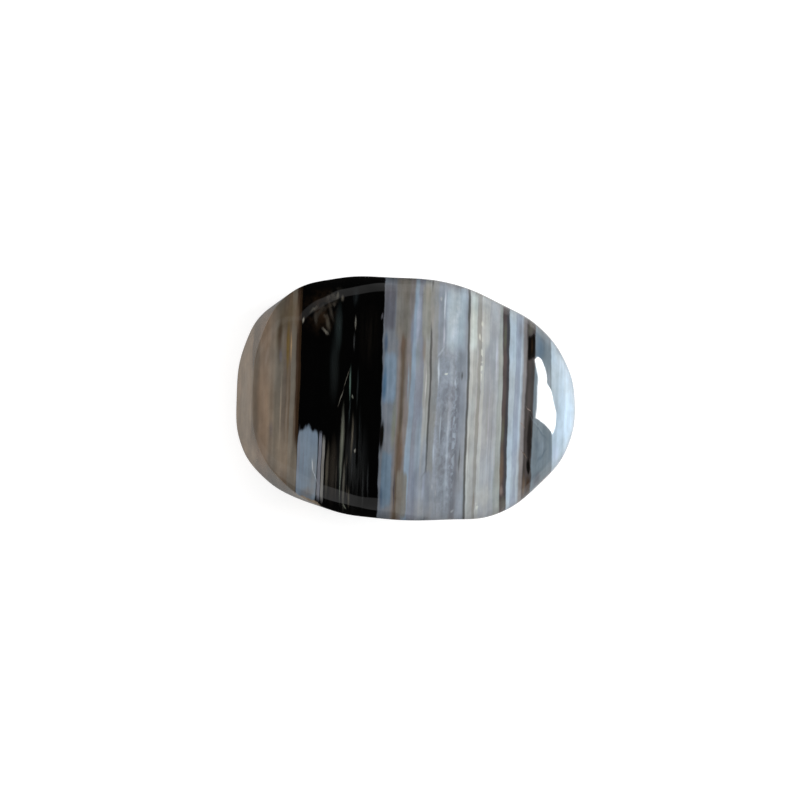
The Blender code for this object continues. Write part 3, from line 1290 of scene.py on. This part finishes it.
@dataclass(frozen=True)
class Room:
    """What the polish mirrors: a dark ceiling, a strip of light walls and a bright window.

    Each skyline gives degrees from +X, anticlockwise from above, and a height in degrees above the
    horizon, or a brightness, at that azimuth.

    Attributes:
        wall_top: Skyline of the light walls' upper edge.
        wall_foot: Skyline of their lower edge, under which dark furniture stands.
        wall_glow: Brightness of the walls.
        window_top: Skyline of the window's upper edge.
        window_foot: Skyline of its lower edge, above the upper one where there is no window.
        window_glow: Brightness of the window.
        ceiling_glow: Brightness of the ceiling.
        table_glow: Brightness of the pale table, straight below.
        table_rim: Degrees above the horizon between which the table ends.
        backdrop_glow: Brightness of the backdrop where the camera sees it.
        edge: Degrees over which each edge is soft.
    """

    wall_top: Skyline = (
        (-180, -30), (-160, -7), (-138, 7), (-122, 20), (-110, 26), (-89, 23), (-78, 17), (-65, 13),
        (-55, 4), (-40, -8), (-20, -8), (-12, 9), (-4, 18), (5, 20), (16, 15), (27, -10), (40, -22),
        (50, -8), (62, -3), (77, 15), (86, 26), (100, 36), (122, 42), (132, 30), (145, 10),
        (160, -10), (180, -30),
    )
    wall_foot: Skyline = (
        (-180, -40), (-120, -20), (-105, -11), (-84, -4), (-75, -9), (-66, -20), (-45, -60),
        (45, -60), (61, -26), (70, -11), (76, -3), (84, 12), (91, 18), (122, 34), (140, 0),
        (180, -40),
    )
    wall_glow: Skyline = (
        (-180, 0.3), (-130, 0.4), (-100, 0.58), (-85, 0.62), (-75, 0.4), (-40, 0.5), (-20, 0.7),
        (30, 0.7), (60, 0.4), (70, 0.3), (84, 0.55), (110, 0.38), (180, 0.3),
    )
    window_top: Skyline = (
        (-180, 0), (-9.8, 14.5), (-9.5, 16.6), (-6.1, 25.4), (-2.9, 33.8), (4.3, 32.7),
        (11.3, 30.8), (18.6, 26.8), (24.6, 22.3), (25.2, 18.0), (180, 0),
    )
    window_foot: Skyline = (
        (-180, 20), (-10.2, 15.0), (-6.4, 14.5), (1.6, 15.5), (3.7, 18.2), (8.8, 20.5),
        (11.7, 23.1), (17.0, 19.9), (22.3, 16.4), (25.0, 17.0), (25.6, 20.0), (180, 20),
    )
    window_glow: float = 28.0
    ceiling_glow: float = 0.012
    table_glow: float = 0.25
    table_rim: tuple[float, float] = (-60.0, -45.0)
    backdrop_glow: float = 0.97
    edge: float = 1.2

    def below(self, sheet: NodeSheet, place: tuple[Socket, Socket], skyline: Skyline) -> Socket:
        """Tell what is under a skyline.

        Args:
            sheet: The node sheet.
            place: Azimuth and height of a direction.
            skyline: The skyline.

        Returns:
            One under it and nought above it.
        """
        azimuth, height = place
        over = sheet.sum("SUBTRACT", height, sheet.skyline(azimuth, skyline, -90, 90))
        return sheet.ease(over, -self.edge / 2, self.edge / 2, 1.0, 0.0)

    def between(
        self, sheet: NodeSheet, place: tuple[Socket, Socket], top: Skyline, foot: Skyline
    ) -> Socket:
        """Tell what is between two skylines.

        Args:
            sheet: The node sheet.
            place: Azimuth and height of a direction.
            top: The upper skyline.
            foot: The lower skyline.

        Returns:
            One between them and nought elsewhere.
        """
        under = self.below(sheet, place, top)
        above = sheet.sum("SUBTRACT", 1.0, self.below(sheet, place, foot))
        return sheet.sum("MULTIPLY", under, above)

    def paint(self) -> None:
        """Make the room the scene's world."""
        world = bpy.data.worlds.new("room")
        world.use_nodes = True
        bpy.context.scene.world = world
        sheet = NodeSheet(world.node_tree)
        x, y, z = sheet.split(sheet.add("ShaderNodeTexCoord").outputs["Generated"])
        azimuth = sheet.sum("MULTIPLY_ADD", sheet.sum("ARCTAN2", y, x), 0.5 / math.pi, 0.5)
        height = sheet.sum("MULTIPLY", sheet.sum("ARCSINE", z), 180 / math.pi)
        place = (azimuth, height)
        walls = self.between(sheet, place, self.wall_top, self.wall_foot)
        walls = sheet.sum("MULTIPLY", walls, sheet.skyline(azimuth, self.wall_glow, 0, 1))
        window = self.between(sheet, place, self.window_top, self.window_foot)
        window = sheet.sum("MULTIPLY", window, self.window_glow)
        table = sheet.ease(height, *self.table_rim, self.table_glow, self.ceiling_glow)
        light = sheet.sum("MAXIMUM", sheet.sum("MAXIMUM", walls, window), table)
        seen = sheet.add("ShaderNodeLightPath").outputs["Is Camera Ray"]
        mirrored = sheet.sum("MULTIPLY", light, sheet.sum("SUBTRACT", 1.0, seen))
        shown = sheet.sum("MULTIPLY_ADD", seen, self.backdrop_glow, mirrored)
        background = sheet.add("ShaderNodeBackground")
        sheet.feed(background.inputs["Strength"], shown)
        sheet.surface("World", background.outputs["Background"])


@dataclass(frozen=True)
class Studio:
    """Soft studio light and the camera.

    Attributes:
        view: Direction from the stone to the camera.
        aim: Point that the camera looks at.
        lens: Focal length in millimetres.
        sensor: Width of the camera's sensor in millimetres.
        clip: Nearest and farthest that the camera sees.
        frame_width: Width of what the camera sees at its aim.
        sky_strength: Light from the soft sky overhead.
        sky_spread: Degrees of the sky that it fills.
        sky_tilt: Degrees that its middle leans over the brown end.
        room: What the polish mirrors.
    """

    view: ViewDirection
    aim: tuple[float, float, float]
    lens: float = 300.0
    sensor: float = 36.0
    clip: tuple[float, float] = (0.01, 10.0)
    frame_width: float = 45.36 * MM
    sky_strength: float = 2.6
    sky_spread: float = 130.0
    sky_tilt: float = 26.0
    room: Room = Room()

    def place_camera(self) -> bpy.types.Object:
        """Set up the camera.

        Returns:
            The camera.
        """
        data = bpy.data.cameras.new("camera")
        data.lens = self.lens
        data.sensor_width = self.sensor
        data.clip_start, data.clip_end = self.clip
        camera = bpy.data.objects.new("camera", data)
        axes = self.view.axes
        distance = self.frame_width * self.lens / self.sensor
        place = Vector(self.aim) + axes[2] * distance
        camera.matrix_world = Matrix.Translation(place) @ axes.transposed().to_4x4()
        bpy.context.scene.collection.objects.link(camera)
        bpy.context.scene.camera = camera
        return camera

    def hang_sky(self) -> None:
        """Light everything evenly from overhead, with a light that no polish mirrors."""
        data = bpy.data.lights.new("soft sky", "SUN")
        data.energy = self.sky_strength
        data.angle = math.radians(self.sky_spread)
        sky = bpy.data.objects.new("soft_sky", data)
        sky.rotation_euler = (0.0, -math.radians(self.sky_tilt), 0.0)
        sky.visible_glossy = False
        bpy.context.scene.collection.objects.link(sky)

    def build(self) -> None:
        """Set up the camera, the lights and the room."""
        self.place_camera()
        self.hang_sky()
        self.room.paint()
        bpy.context.scene.view_settings.view_transform = "Standard"


def main() -> None:
    """Build the stone, the floor and the studio in order, and log the stone's number of faces."""
    logging.basicConfig(level=logging.INFO, format="%(message)s")
    view = ViewDirection()
    finish = BandedPolish(middle=(-0.655 * MM, 0.009 * MM, 4.642 * MM), view=view)
    stone = AgateStone(finish).build()
    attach(stone, "root")
    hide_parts("agate")
    log.info("stone: %d faces", len(stone.data.polygons))
    PaleFloor().build()
    Studio(view, aim=(-0.965 * MM, -0.077 * MM, 4.5 * MM)).build()
    log.info("studio is lit")


if __name__ == "__main__":
    main()
